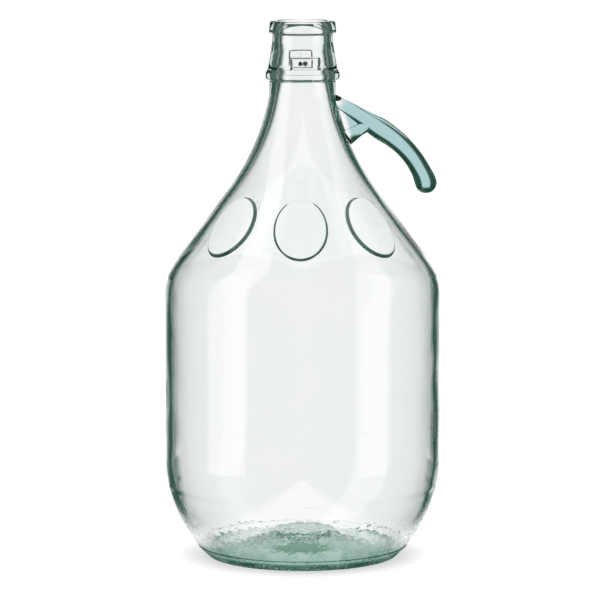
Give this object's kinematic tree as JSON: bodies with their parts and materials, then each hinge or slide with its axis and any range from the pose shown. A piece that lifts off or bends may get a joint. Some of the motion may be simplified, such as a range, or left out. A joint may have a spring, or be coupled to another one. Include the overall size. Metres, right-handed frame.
{
  "type": "glass demijohn",
  "caption": "Pale green blown glass bottle with three raised oval medallions on its cone shoulder, a collared neck and one open finger handle.",
  "frame": {"origin": "on the bottle's axis, in the plane that its foot stands on", "axes": "+Z along the axis, out of the mouth; +X towards the handle"},
  "size_m": [0.184, 0.184, 0.3588],
  "materials": {
    "glass": "clear pale green soda-lime glass, fire polished"
  },
  "bodies": {
    "root": {"bottle": "glass"}
  },
  "joints": []
}
